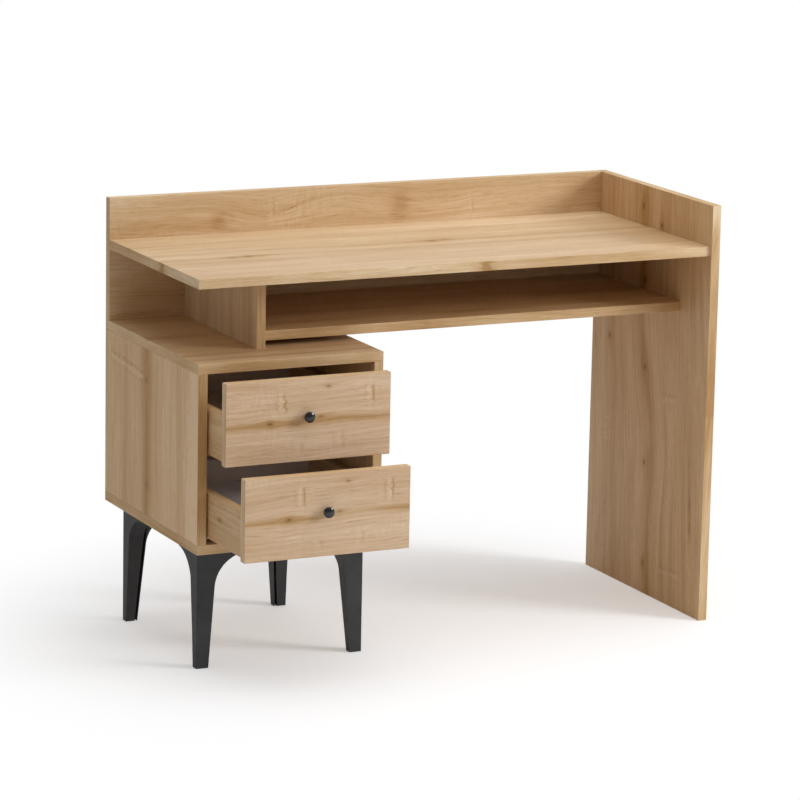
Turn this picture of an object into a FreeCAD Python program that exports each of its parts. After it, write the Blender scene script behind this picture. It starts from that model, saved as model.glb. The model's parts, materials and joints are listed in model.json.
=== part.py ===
import FreeCAD, Part
import os
import re
import Sketcher
from FreeCAD import Placement, Rotation, Vector

# Computer desk: melamine boards, a two-drawer pedestal on moulded corner legs.
# Places are measured from the desk's left end (x), from the front of the right
# panel (y, to the back) and from the floor (z), in millimetres. The origin of the
# part is the middle of the whole object on the floor, with its drawers as they stand.

doc = FreeCAD.newDocument("computer_desk")

# Driving dimensions
SIZES = {
    "desk_width": 1050,
    "desk_depth": 458,
    "desk_height": 800,
    "board": 18,
    "edge_round": 0.8,
    "hardboard": 3,
    "desktop_height": 722,
    "desktop_setback": 6,
    "divider_place": 152,
    "divider_setback": 100,
    "shelf_setback": 112,
    "shelf_lift": 12,
    "pedestal_width": 361,
    "pedestal_setback": 4,
    "back_inset": 27,
    "groove_depth": 6,
    "groove_play": 0.2,
    # drawers
    "front_height": 150,
    "front_gap": 3,
    "front_gap_low": 5,
    "upper_open": 77,
    "lower_open": 166,
    "box_side": 16,
    "box_side_height": 84,
    "box_raise": 6.5,
    "box_length": 400,
    "box_gap": 4,
    "bottom_raise": 37,
    # knobs
    "knob_diameter": 20,
    "knob_projection": 18,
    "knob_neck": 9,
    "knob_neck_length": 7,
    "knob_flare": 4,
    "knob_dome": 3,
    "knob_rim_round": 1.6,
    "knob_bore": 12,
    "knob_aside": 4,
    "knob_above": 7,
    # drawer runners
    "drawer_travel": 300,
    "rail_setback": 2,
    "rail_length": 390,
    "rail_sheet": 1.5,
    "rail_drop": 6,
    "rail_flange": 30,
    "track_place": 26,
    "track_width": 14,
    "track_height": 34,
    "shoe_gap": 1.5,
    "shoe_skirt": 21,
    "hook_height": 24,
    "hook_pin": 5,
    "hook_pin_length": 10,
    "hook_pin_height": 14,
    "run_gap": 0.3,
    "carriage_length": 88,
    "carriage_margin": 6,
    "carriage_plate": 2,
    "roller_length": 10,
    "roller_pitch": 24,
    # corner legs
    "leg_height": 222,
    "leg_side_inset": 16.5,
    "leg_front_inset": 38,
    "leg_rear_inset": 52,
    "leg_foot": 23.5,
    "leg_waist": 34.6,
    "leg_reach": 98,
    "leg_wall_foot": 15.5,
    "leg_wall_top": 36,
    "leg_foot_depth": 17,
    "leg_waist_depth": 27.4,
    "leg_reach_depth": 88,
    "leg_side_wall_foot": 17.5,
    "leg_side_wall_top": 33.5,
    "leg_waist_height": 150,
    "leg_flange": 12,
    "leg_core_height": 190,
    "leg_core_rim": 1.6,
    "leg_core_skin": 4,
    "leg_corner_round": 1.2,
    "leg_hole_inset": 14,
    # fittings
    "drill_play": 0.05,
    "cam_diameter": 15,
    "cam_depth": 13,
    "cam_distance": 24,
    "cam_play": 0.3,
    "bolt_diameter": 6,
    "bolt_thread": 11,
    "bolt_hole": 7,
    "dowel_diameter": 8,
    "dowel_in_face": 11,
    "dowel_in_edge": 19,
    "screw_diameter": 4,
    "screw_head": 8,
    "screw_head_height": 2.4,
    "long_screw": 45,
    "short_screw": 12,
    "counterbore_play": 1.5,
    "fitting_inset": 60,
    "pedestal_fitting_inset": 150,
    "fitting_pitch": 32,
}

# Places worked out from the driving dimensions
PLACES = {
    "lower_face": "pedestal_setback - lower_open",
    "upper_face": "pedestal_setback - upper_open",
    "origin_x": "desk_width / 2",
    "origin_y": "(desk_depth + lower_face - knob_projection) / 2",
    "knob_crown": "(knob_diameter * knob_diameter / 4 + knob_dome * knob_dome) / (2 * knob_dome)",
    "right_panel": "desk_width - board",
    "back_face": "desk_depth - board",
    "desktop_under": "desktop_height - board",
    "inside_floor": "leg_height + board",
    "inside_height": "2 * front_height + 2 * front_gap + front_gap_low",
    "ceiling": "inside_floor + inside_height",
    "pedestal_face": "ceiling + board",
    "pedestal_depth": "desk_depth - pedestal_setback",
    "pedestal_right": "pedestal_width - board",
    "inside_width": "pedestal_width - 2 * board",
    "shelf_under": "pedestal_face + shelf_lift",
    "shelf_left": "divider_place + board",
    "hardboard_face": "desk_depth - back_inset - hardboard",
    "lower_base": "inside_floor + front_gap_low",
    "upper_base": "lower_base + front_height + front_gap",
    "box_left": "board + box_gap",
    "box_right": "pedestal_right - box_gap",
    "box_inner_left": "box_left + box_side",
    "box_inner_right": "box_right - box_side",
    "rail_front": "pedestal_setback + board + rail_setback",
    "shoe_place": "track_place - shoe_gap - rail_sheet",
    "shoe_end": "track_place + track_width + shoe_gap + rail_sheet",
    "shoe_top": "rail_drop + bottom_raise",
    "track_end": "track_place + track_width",
    "roller_room": "shoe_top - rail_sheet - track_height",
    "leg_front": "pedestal_setback + leg_front_inset",
    "leg_rear": "desk_depth - leg_rear_inset",
}

# Directions of the desk
RIGHT = Vector(1, 0, 0)
LEFT = Vector(-1, 0, 0)
BACK = Vector(0, 1, 0)
FRONT = Vector(0, -1, 0)
UP = Vector(0, 0, 1)
DOWN = Vector(0, 0, -1)

# A pan head's height as a share of a countersunk one's
PAN_SHARE = 0.8
# Rollers in a carriage, in pitches from its middle
ROLLER_PLACES = (-1.5, -0.5, 0.5, 1.5)
# Rough middle of the leg's flare as shares of its run and rise, settled by the tangent
FLARE_RUN = 0.37
FLARE_RISE = 0.75

sheet = doc.addObject("Spreadsheet::Sheet", "Sizes")
for row, (alias, size) in enumerate(SIZES.items(), start=1):
    sheet.set(f"A{row}", alias)
    sheet.set(f"B{row}", str(size))
    sheet.setAlias(f"B{row}", alias)
doc.recompute()


def expand(text):
    """Write a rule in sizes and places as an expression on the sheet."""

    def name(match):
        word = match.group(0)
        if word in PLACES:
            return "(" + expand(PLACES[word]) + ")"
        return "Sizes." + word

    return re.sub(r"[a-z_]+", name, text)


def number(text):
    """Work out a rule in sizes and places."""
    return float(sheet.evalExpression(expand(text)))


def point(x, y, z):
    """A point of the desk in the part's own frame."""
    return Vector(number(f"{x} - origin_x"), number(f"{y} - origin_y"), number(z))


def bind(item, **rules):
    """Tie properties of an object to the sheet."""
    for key, rule in rules.items():
        item.setExpression(key, expand(rule))


def put(item, x, y, z):
    """Tie an object's place to the sheet."""
    item.setExpression("Placement.Base.x", expand(f"{x} - origin_x"))
    item.setExpression("Placement.Base.y", expand(f"{y} - origin_y"))
    item.setExpression("Placement.Base.z", expand(z))


# Node name to its finished object, and drillings and grooves waiting for each board
nodes = {}
blanks = {}
cuts = {}
groups = {}


def keep(label, item):
    """Enter a finished object as a node."""
    item.Label = label
    nodes[label] = item
    return item


# Boards

def board_blank(label, corner, size, rounded=True):
    """A board as a box with softened edges, drilled later by finish_boards."""
    box = doc.addObject("Part::Box", label + "_panel")
    bind(box, Length=size[0], Width=size[1], Height=size[2])
    put(box, *corner)
    doc.recompute()
    blank = box
    if rounded:
        blank = doc.addObject("Part::Fillet", label + "_edged")
        blank.Base = box
        radius = number("edge_round")
        blank.Edges = [(edge + 1, radius, radius) for edge in range(len(box.Shape.Edges))]
    blanks[label] = blank
    cuts[label] = []


def groove(label, corner, size):
    """Cut a straight groove into a board."""
    tool = Part.makeBox(number(size[0]), number(size[1]), number(size[2]), point(*corner))
    cuts[label].append(tool)


def finish_boards():
    """Drill and groove the boards that have fittings, and enter them all as nodes."""
    for label, blank in blanks.items():
        if not cuts[label]:
            keep(label, blank)
            continue
        tool = doc.addObject("Part::Feature", label + "_drilling")
        tool.Shape = Part.makeCompound(cuts[label])
        drilled = doc.addObject("Part::Cut", label)
        drilled.Base = blank
        drilled.Tool = tool
        keep(label, drilled)


# Fittings: each makes its own holes in the boards that it joins

def rod(start, direction, length, diameter):
    """A round bar from a point along a direction."""
    return Part.makeCylinder(diameter / 2, length, start, direction)


def add(label, solid):
    """Put one more solid into a group of fittings."""
    groups.setdefault(label, []).append(solid)


def cam_joint(prefix, face_board, edge_board, place, along, opening, thickness):
    """A cam and bolt: the bolt stands in a face and is drawn into another board's edge."""
    play = 2 * number("drill_play")
    bolt = number("bolt_diameter")
    reach = number("cam_distance")
    thread = number("bolt_thread")
    cam = number("cam_diameter")
    depth = number("cam_depth")
    seat = place + along * reach
    mouth = seat + opening * (number(thickness) / 2)
    cuts[face_board].append(rod(place, -along, thread, bolt + play))
    cuts[edge_board].append(rod(place, along, reach, number("bolt_hole")))
    cuts[edge_board].append(rod(mouth, -opening, depth, cam + play))
    add(prefix + "cam_bolts", rod(place - along * thread, along, thread + reach, bolt))
    slot = rod(place, along, reach, bolt + 2 * number("cam_play"))
    add(prefix + "cam_locks", rod(mouth, -opening, depth, cam).cut(slot))


def dowel_joint(prefix, face_board, edge_board, place, along):
    """A wooden dowel between a face and an edge."""
    play = 2 * number("drill_play")
    thick = number("dowel_diameter")
    in_face = number("dowel_in_face")
    in_edge = number("dowel_in_edge")
    cuts[face_board].append(rod(place, -along, in_face, thick + play))
    cuts[edge_board].append(rod(place, along, in_edge, thick + play))
    add(prefix + "dowels", rod(place - along * in_face, along, in_face + in_edge, thick))


def countersunk(start, along, length, play):
    """A countersunk screw whose head ends flush at its start."""
    shank = number("screw_diameter") / 2 + play
    head = number("screw_head") / 2 + play
    height = number("screw_head_height")
    cone = Part.makeCone(head, shank, height, start, along)
    return cone.fuse(rod(start, along, length, 2 * shank)).removeSplitter()


def long_screw(label, boards, start, along):
    """A long countersunk screw through one board into the edge of the next."""
    length = number("long_screw")
    for name in boards:
        cuts[name].append(countersunk(start, along, length, number("drill_play")))
    add(label, countersunk(start, along, length, 0))


def pan_screw(label, seat, along, through, board_name):
    """A pan-head screw that clamps a plate of the given thickness to a board."""
    shank = number("screw_diameter")
    grip = through + number("short_screw")
    height = number("screw_head_height")
    head = rod(seat, -along, height * PAN_SHARE, number("screw_head"))
    add(label, head.fuse(rod(seat, along, grip, shank)))
    hole = rod(seat, along, grip, shank + 2 * number("drill_play"))
    cuts[board_name].append(hole)


# Sketched outlines

def origin_plane(body, role):
    """One of a body's own origin planes."""
    return next(plane for plane in body.Origin.OriginFeatures if plane.Role == role)


def outline(body, name, role, corners, arcs=None):
    """A closed sketch through corners given as rules, with some sides as arcs.

    An arc is given by its side's number and by a pair: a rough middle point, and the
    radius as a rule, or None for an arc that leaves the side before it without a kink.
    """
    arcs = arcs or {}
    sketch = body.newObject("Sketcher::SketchObject", name)
    sketch.AttachmentSupport = [(origin_plane(body, role), "")]
    sketch.MapMode = "FlatFace"
    spots = [Vector(number(x), number(y), 0) for x, y in corners]
    count = len(corners)
    first = {}
    last = {}
    for side, spot in enumerate(spots):
        following = spots[(side + 1) % count]
        first[side] = 1
        last[side] = 2
        if side not in arcs:
            sketch.addGeometry(Part.LineSegment(spot, following), False)
            continue
        middle = Vector(number(arcs[side][0][0]), number(arcs[side][0][1]), 0)
        curve = Part.Arc(spot, middle, following)
        sketch.addGeometry(curve, False)
        begins = sketch.getPoint(side, 1).distanceToPoint(spot)
        ends = sketch.getPoint(side, 2).distanceToPoint(spot)
        if ends < begins:
            first[side] = 2
            last[side] = 1
    for side in range(count):
        after = (side + 1) % count
        if after in arcs and arcs[after][1] is None:
            joint = Sketcher.Constraint("Tangent", side, last[side], after, first[after])
        else:
            joint = Sketcher.Constraint("Coincident", side, last[side], after, first[after])
        sketch.addConstraint(joint)
    for side, (x, y) in enumerate(corners):
        for kind, rule in (("DistanceX", x), ("DistanceY", y)):
            value = number(rule)
            key = sketch.addConstraint(Sketcher.Constraint(kind, -1, 1, side, first[side], value))
            sketch.setExpression(f"Constraints[{key}]", expand(rule))
    for side, arc in arcs.items():
        radius = arc[1]
        if radius is not None:
            key = sketch.addConstraint(Sketcher.Constraint("Radius", side, number(radius)))
            sketch.setExpression(f"Constraints[{key}]", expand(radius))
    doc.recompute()
    return sketch


def pad(body, sketch, length, reverse=False):
    """Push a sketch out to a solid."""
    feature = body.newObject("PartDesign::Pad", sketch.Name + "_pad")
    feature.Profile = sketch
    feature.Reversed = reverse
    bind(feature, Length=length)
    doc.recompute()
    return feature


def mirrored(label, source, normal, **base):
    """A mirrored twin of an object."""
    twin = doc.addObject("Part::Mirroring", label)
    twin.Source = source
    twin.Normal = normal
    for axis, rule in base.items():
        twin.setExpression("Base." + axis, expand(rule))
    return twin


# The fixed boards

def make_carcass():
    board_blank("right_side_panel", ("right_panel", "0", "0"), ("board", "desk_depth", "desk_height"))
    board_blank("back_panel", ("0", "back_face", "pedestal_face"),
                ("right_panel", "board", "desk_height - pedestal_face"))
    board_blank("desktop", ("0", "desktop_setback", "desktop_under"),
                ("right_panel", "back_face - desktop_setback", "board"))
    board_blank("divider_panel", ("divider_place", "divider_setback", "pedestal_face"),
                ("board", "back_face - divider_setback", "desktop_under - pedestal_face"))
    board_blank("keyboard_shelf", ("shelf_left", "shelf_setback", "shelf_under"),
                ("right_panel - shelf_left", "back_face - shelf_setback", "board"))
    flat = ("pedestal_width", "pedestal_depth", "board")
    upright = ("board", "pedestal_depth", "inside_height")
    board_blank("pedestal_top", ("0", "pedestal_setback", "ceiling"), flat)
    board_blank("pedestal_bottom", ("0", "pedestal_setback", "leg_height"), flat)
    board_blank("pedestal_left_side", ("0", "pedestal_setback", "inside_floor"), upright)
    board_blank("pedestal_right_side", ("pedestal_right", "pedestal_setback", "inside_floor"), upright)


def make_pedestal_back():
    """A thin back that stands in grooves of the four pedestal boards."""
    left = "board - groove_depth + groove_play"
    low = "inside_floor - groove_depth"
    wide = "inside_width + 2 * groove_depth"
    tall = "inside_height + 2 * groove_depth"
    slot = "hardboard + groove_play"
    board_blank("pedestal_back", (left, "hardboard_face", low),
                (f"{wide} - 2 * groove_play", "hardboard", f"{tall} - groove_play"), rounded=False)
    side_slot = ("groove_depth", slot, "inside_height")
    groove("pedestal_left_side", ("board - groove_depth", "hardboard_face", "inside_floor"), side_slot)
    groove("pedestal_right_side", ("pedestal_right", "hardboard_face", "inside_floor"), side_slot)
    flat_slot = (wide, slot, "groove_depth")
    groove("pedestal_bottom", ("board - groove_depth", "hardboard_face", low), flat_slot)
    groove("pedestal_top", ("board - groove_depth", "hardboard_face", "ceiling"), flat_slot)


def join_carcass():
    """Cams, dowels and screws at the joints of the fixed boards."""
    pedestal_front = "pedestal_setback + pedestal_fitting_inset"
    pedestal_rear = "hardboard_face - fitting_inset"
    sides = (
        ("pedestal_left_side", "board / 2", RIGHT),
        ("pedestal_right_side", "pedestal_width - board / 2", LEFT),
    )
    for side, middle, inward in sides:
        for y in (pedestal_front, pedestal_rear):
            cam_joint("", "pedestal_top", side, point(middle, y, "ceiling"), DOWN, inward, "board")
            long_screw("carcass_screws", ("pedestal_bottom", side), point(middle, y, "leg_height"), UP)
        dowel_joint("", "pedestal_top", side,
                    point(middle, f"{pedestal_front} + fitting_pitch", "ceiling"), DOWN)
        dowel_joint("", "pedestal_bottom", side,
                    point(middle, f"{pedestal_front} + fitting_pitch", "inside_floor"), UP)

    divider_middle = "divider_place + board / 2"
    divider_front = "divider_setback + fitting_inset"
    divider_rear = "back_face - fitting_inset"
    for y in (divider_front, divider_rear):
        long_screw("carcass_screws", ("pedestal_top", "divider_panel"),
                   point(divider_middle, y, "ceiling"), UP)
        cam_joint("", "desktop", "divider_panel",
                  point(divider_middle, y, "desktop_under"), DOWN, RIGHT, "board")
    dowel_joint("", "desktop", "divider_panel",
                point(divider_middle, f"{divider_front} + fitting_pitch", "desktop_under"), DOWN)
    dowel_joint("", "pedestal_top", "divider_panel",
                point(divider_middle, f"{divider_front} + fitting_pitch", "pedestal_face"), UP)

    shelf_middle = "shelf_under + board / 2"
    shelf_front = "shelf_setback + fitting_inset + fitting_pitch"
    shelf_rear = "back_face - fitting_inset - fitting_pitch"
    ends = (("divider_panel", "shelf_left", RIGHT), ("right_side_panel", "right_panel", LEFT))
    for panel, x, along in ends:
        for y in (shelf_front, shelf_rear):
            cam_joint("", panel, "keyboard_shelf", point(x, y, shelf_middle), along, DOWN, "board")
        dowel_joint("", panel, "keyboard_shelf",
                    point(x, f"{shelf_front} + fitting_pitch", shelf_middle), along)

    top_middle = "desktop_under + board / 2"
    for y in ("desktop_setback + fitting_inset", "back_face - fitting_inset"):
        cam_joint("", "right_side_panel", "desktop",
                  point("right_panel", y, top_middle), LEFT, DOWN, "board")
    dowel_joint("", "right_side_panel", "desktop",
                point("right_panel", "desktop_setback + fitting_inset + fitting_pitch", top_middle), LEFT)
    for x in ("fitting_inset", "right_panel / 2", "right_panel - fitting_inset - fitting_pitch"):
        cam_joint("", "back_panel", "desktop", point(x, "back_face", top_middle), FRONT, DOWN, "board")
        dowel_joint("", "back_panel", "desktop",
                    point(f"{x} + fitting_pitch", "back_face", top_middle), FRONT)

    back_middle = "back_face + board / 2"
    for z in ("shelf_under + fitting_pitch", "desk_height - fitting_pitch"):
        cam_joint("", "right_side_panel", "back_panel",
                  point("right_panel", back_middle, z), LEFT, BACK, "board")
    for x in ("fitting_inset", "pedestal_width - fitting_inset"):
        long_screw("carcass_screws", ("pedestal_top", "back_panel"), point(x, back_middle, "ceiling"), UP)


# Moulded corner legs

def leg_arm(label, foot, waist, reach, wall_foot, wall_top):
    """One wing of a leg: it tapers to the foot and flares out to the flange."""
    arm = doc.addObject("PartDesign::Body", label)
    put(arm, "leg_side_inset", "leg_front", "0")
    under = "leg_height - leg_flange"
    corners = (
        ("0", "0"),
        (foot, "0"),
        (waist, "leg_waist_height"),
        (reach, under),
        (reach, "leg_height"),
        ("0", "leg_height"),
    )
    flare_middle = (
        f"{waist} + {FLARE_RUN} * ({reach} - {waist})",
        f"leg_waist_height + {FLARE_RISE} * ({under} - leg_waist_height)",
    )
    profile = outline(arm, f"{label}_outline", "XZ_Plane", corners, {2: (flare_middle, None)})
    pad(arm, profile, wall_top, reverse=True)
    slope = outline(arm, f"{label}_slope", "YZ_Plane",
                    ((wall_foot, "0"), (wall_top, "0"), (wall_top, "leg_height")))
    cut = arm.newObject("PartDesign::Pocket", f"{label}_slope_cut")
    cut.Profile = slope
    cut.Type = "ThroughAll"
    cut.Reversed = True
    doc.recompute()
    return arm


def leg_core():
    """The slot that is cored out of a leg's inner face, between its two wings."""
    core = doc.addObject("PartDesign::Body", "leg_core")
    put(core, "leg_side_inset", "leg_front + leg_core_skin", "0")
    side_slope = "(leg_side_wall_top - leg_side_wall_foot) / leg_height"
    wing_slope = "(leg_waist - leg_foot) / leg_waist_height"
    slot = outline(core, "leg_core_outline", "XZ_Plane", (
        ("leg_side_wall_foot", "0"),
        ("leg_foot - leg_core_rim", "0"),
        (f"leg_foot - leg_core_rim + leg_core_height * {wing_slope}", "leg_core_height"),
        (f"leg_side_wall_foot + leg_core_height * {side_slope}", "leg_core_height"),
    ))
    pad(core, slot, "leg_wall_top", reverse=True)
    return core


def make_legs():
    wing = leg_arm("leg_wing", "leg_foot", "leg_waist", "leg_reach", "leg_wall_foot", "leg_wall_top")
    turned = leg_arm("leg_side_wing", "leg_foot_depth", "leg_waist_depth", "leg_reach_depth",
                     "leg_side_wall_foot", "leg_side_wall_top")
    side_wing = mirrored("leg_side_wing_turned", turned, Vector(1, -1, 0),
                         x="leg_side_inset - origin_x", y="leg_front - origin_y")
    flange = doc.addObject("PartDesign::Body", "leg_flange")
    put(flange, "leg_side_inset", "leg_front", "leg_height - leg_flange")
    plate = outline(flange, "leg_flange_outline", "XY_Plane", (
        ("0", "0"),
        ("leg_reach", "0"),
        ("leg_reach", "leg_wall_top"),
        ("leg_side_wall_top", "leg_reach_depth"),
        ("0", "leg_reach_depth"),
    ))
    pad(flange, plate, "leg_flange")
    whole = doc.addObject("Part::MultiFuse", "leg_moulding")
    whole.Shapes = [wing, side_wing, flange]
    whole.Refine = True
    doc.recompute()

    corner = point("leg_side_inset", "leg_front", "0")
    softened = doc.addObject("Part::Fillet", "leg_softened")
    softened.Base = whole
    radius = number("leg_corner_round")
    upright = [
        index + 1
        for index, edge in enumerate(whole.Shape.Edges)
        if all(abs(v.X - corner.x) + abs(v.Y - corner.y) < radius for v in edge.Vertexes)
    ]
    softened.Edges = [(index, radius, radius) for index in upright]

    drilling = doc.addObject("Part::Feature", "leg_drilling")
    drilling.Shape = Part.makeCompound(leg_holes(RIGHT, BACK, corner))
    cored = doc.addObject("Part::Cut", "leg_cored")
    cored.Base = softened
    cored.Tool = leg_core()
    leg = doc.addObject("Part::Cut", "leg_front_left")
    leg.Base = cored
    leg.Tool = drilling
    keep("leg_front_left", leg)
    right = mirrored("leg_front_right", leg, RIGHT, x="pedestal_width / 2 - origin_x")
    keep("leg_front_right", right)
    middle = "(leg_front + leg_rear) / 2 - origin_y"
    keep("leg_rear_left", mirrored("leg_rear_left", leg, BACK, y=middle))
    keep("leg_rear_right", mirrored("leg_rear_right", right, BACK, y=middle))


def leg_seats(across, back, corner):
    """Where a leg's screws sit, under its flange."""
    seats = (
        ("leg_reach - leg_hole_inset", "leg_wall_top / 2"),
        ("leg_side_wall_top / 2", "leg_reach_depth - leg_hole_inset"),
        ("leg_side_wall_top + leg_hole_inset", "leg_wall_top + leg_hole_inset"),
    )
    rise = UP * number("leg_height - leg_flange")
    return [corner + rise + across * number(x) + back * number(y) for x, y in seats]


def leg_holes(across, back, corner):
    """Screw holes through a leg's flange, counterbored from below."""
    tools = []
    play = 2 * number("drill_play")
    for seat in leg_seats(across, back, corner):
        tools.append(rod(seat, UP, number("leg_flange"), number("screw_diameter") + play))
        tools.append(rod(seat, DOWN, number("leg_flange"), number("screw_head + counterbore_play")))
    return tools


def screw_legs():
    """Three screws up through each leg's flange into the pedestal's bottom board."""
    right = "pedestal_width - leg_side_inset"
    for x, across in (("leg_side_inset", RIGHT), (right, LEFT)):
        for y, back in (("leg_front", BACK), ("leg_rear", FRONT)):
            for seat in leg_seats(across, back, point(x, y, "0")):
                pan_screw("leg_screws", seat, UP, number("leg_flange"), "pedestal_bottom")


# Drawers

def make_drawer(name):
    face = f"{name}_face"
    base = f"{name}_base"
    behind = f"{face} + board"
    low = f"{base} + box_raise"
    floor = f"{low} + bottom_raise"
    end = f"{behind} + box_length"
    front = f"{name}_drawer_front"
    left = f"{name}_drawer_left_side"
    right = f"{name}_drawer_right_side"
    rear = f"{name}_drawer_back"
    bottom = f"{name}_drawer_bottom"
    board_blank(front, ("board + front_gap", face, base),
                ("inside_width - 2 * front_gap", "board", "front_height"))
    side_size = ("box_side", "box_length", "box_side_height")
    board_blank(left, ("box_left", behind, low), side_size)
    board_blank(right, ("box_inner_right", behind, low), side_size)
    rear_height = "box_side_height - bottom_raise - hardboard"
    board_blank(rear, ("box_inner_left", f"{end} - box_side", f"{floor} + hardboard"),
                ("box_inner_right - box_inner_left", "box_side", rear_height))
    bottom_left = "box_inner_left - groove_depth"
    bottom_wide = "box_inner_right - box_inner_left + 2 * groove_depth"
    bottom_long = "box_length + groove_depth - groove_play"
    board_blank(bottom, (f"{bottom_left} + groove_play", f"{behind} - groove_depth + groove_play", floor),
                (f"{bottom_wide} - 2 * groove_play", bottom_long, "hardboard"), rounded=False)
    slot = "hardboard + groove_play"
    groove(front, (bottom_left, f"{behind} - groove_depth", floor), (bottom_wide, "groove_depth", slot))
    groove(left, (bottom_left, behind, floor), ("groove_depth", "box_length", slot))
    groove(right, ("box_inner_right", behind, floor), ("groove_depth", "box_length", slot))

    prefix = f"{name}_drawer_"
    sides = ((left, "box_left", "box_left + box_side / 2", RIGHT),
             (right, "box_right", "box_right - box_side / 2", LEFT))
    for side, outer, middle, inward in sides:
        cam_joint(prefix, front, side,
                  point(middle, behind, f"{low} + fitting_inset"), BACK, inward, "box_side")
        dowel_joint(prefix, front, side, point(middle, behind, f"{low} + fitting_pitch"), BACK)
        for z in ("bottom_raise + hardboard + 2 * screw_head", "box_side_height - screw_head"):
            long_screw(prefix + "box_screws", (side, rear),
                       point(outer, f"{end} - box_side / 2", f"{low} + {z}"), inward)
    make_knob(name, face, f"{base} + front_height / 2 + knob_above", front)
    make_runner(name, low, behind, end)


def make_knob(name, face, z, front):
    """A turned metal knob with a domed face, held by a screw from inside the drawer."""
    x = "pedestal_width / 2 - knob_aside"
    knob = doc.addObject("PartDesign::Body", f"{name}_drawer_knob")
    put(knob, x, face, z)
    knob.Placement = Placement(knob.Placement.Base, Rotation(UP, 180))
    bore = "screw_diameter / 2 + drill_play"
    head = "knob_diameter / 2"
    shoulder = "knob_neck_length + knob_flare"
    corners = (
        (bore, "0"),
        ("knob_neck / 2", "0"),
        ("knob_neck / 2", "knob_neck_length"),
        (head, shoulder),
        (head, "knob_projection - knob_dome"),
        ("0", "knob_projection"),
        ("0", "knob_bore"),
        (bore, "knob_bore"),
    )
    dome = {4: (("knob_diameter / 4", "knob_projection - knob_dome / 4"), "knob_crown")}
    sketch = outline(knob, f"{name}_knob_outline", "XY_Plane", corners, dome)
    turned = knob.newObject("PartDesign::Revolution", f"{name}_knob_turned")
    turned.Profile = sketch
    turned.ReferenceAxis = (sketch, ["V_Axis"])
    turned.Angle = 360
    doc.recompute()
    radius = number("knob_diameter / 2")
    rims = [
        f"Edge{index + 1}"
        for index, edge in enumerate(turned.Shape.Edges)
        if not edge.Degenerated
        and hasattr(edge.Curve, "Radius")
        and abs(edge.Curve.Radius - radius) < number("drill_play")
    ]
    rounding = knob.newObject("PartDesign::Fillet", f"{name}_knob_rim")
    rounding.Base = (turned, rims)
    bind(rounding, Radius="knob_rim_round")
    keep(f"{name}_drawer_knob", knob)

    seat = point(x, f"{face} + board", z)
    shank = number("screw_diameter")
    grip = number("board + knob_bore")
    top = rod(seat, BACK, number("screw_head_height") * PAN_SHARE, number("screw_head"))
    add(f"{name}_drawer_knob_screw", top.fuse(rod(seat, FRONT, grip, shank)))
    cuts[front].append(rod(seat, FRONT, number("board"), shank + 2 * number("drill_play")))


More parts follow.
